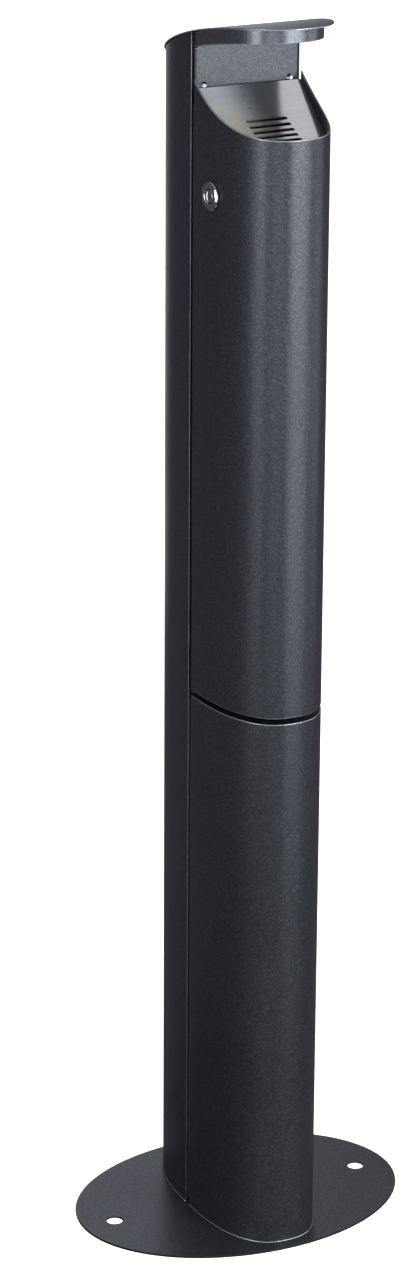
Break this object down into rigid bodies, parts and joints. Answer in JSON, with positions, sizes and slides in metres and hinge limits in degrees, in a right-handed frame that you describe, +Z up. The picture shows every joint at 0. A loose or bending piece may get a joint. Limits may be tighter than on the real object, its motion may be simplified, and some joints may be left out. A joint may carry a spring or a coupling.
{
  "type": "column ashtray bin",
  "caption": "Free-standing sheet-steel column ashtray with an elliptical foot plate, a lockable front door, a slotted stubbing insert under an arched lid, and a lift-out ash bucket.",
  "frame": {"origin": "centre of the foot plate's underside", "axes": "+Z up, -Y towards the door's front, +X to the right seen from the front, the side that is hinged"},
  "size_m": [0.282, 0.2056, 1],
  "materials": {
    "coat": "anthracite metallic powder coat, fine texture",
    "stainless": "brushed stainless, brushed from rear to front",
    "zinc": "galvanised sheet",
    "chrome": "polished",
    "plated": "zinc plated",
    "rubber": "matt"
  },
  "bodies": {
    "column": {"base_plate": "coat", "column_foot": "coat", "rear_shell": "coat", "lower_front_panel": "coat", "mid_shelf": "coat", "joint_strip_left": "coat", "joint_strip_right": "coat", "shell_angle_left": "coat", "shell_angle_right": "coat", "lid_plate": "coat", "lid_skirt": "coat", "panel_rail": "coat", "back_panel": "coat", "lock_keeper": "zinc", "foot_bolt_1": "plated", "foot_bolt_2": "plated", "foot_bolt_3": "plated", "foot_bolt_4": "plated", "panel_screw_left": "plated", "panel_screw_right": "plated", "hinge_frame_leaf_lower": "plated", "hinge_frame_leaf_upper": "plated", "hinge_pin_lower": "plated", "hinge_pin_upper": "plated", "keeper_rivet_1": "plated", "keeper_rivet_2": "plated", "door_buffer_lower": "rubber", "door_buffer_upper": "rubber"},
    "door": {"door_shell": "coat", "door_floor": "zinc", "door_angle_left": "coat", "door_angle_right": "coat", "ashtray_insert": "stainless", "door_crossbar": "zinc", "insert_screw_left": "plated", "insert_screw_right": "plated", "lock_body": "chrome", "lock_nut": "plated", "bucket_guide_left": "zinc", "bucket_guide_right": "zinc", "hinge_door_leaf_lower": "plated", "hinge_door_leaf_upper": "plated"},
    "lock": {"lock_plug": "chrome", "lock_cam": "plated", "cam_screw": "plated"},
    "bucket": {"ash_bucket": "zinc"},
    "handle": {"bucket_handle": "plated"}
  },
  "joints": [
    {"name": "door_hinge", "type": "hinge", "parent": "column", "child": "door", "pos_m": [0.0447, 0.0003, 0.68], "axis": [0, 0, 1], "range_deg": [0, 100]},
    {"name": "lock_turn", "type": "hinge", "parent": "door", "child": "lock", "pos_m": [-0.04473, -0.0306, 0.8656], "axis": [-0.995, -0.1003, 0], "range_deg": [0, 90]},
    {"name": "bucket_slide", "type": "slide", "parent": "door", "child": "bucket", "axis": [0, 1, 0], "range_m": [0, 0.07]},
    {"name": "handle_swing", "type": "hinge", "parent": "bucket", "child": "handle", "pos_m": [0, -0.044, 0.808], "axis": [-1, 0, 0], "range_deg": [0, 48]}
  ]
}
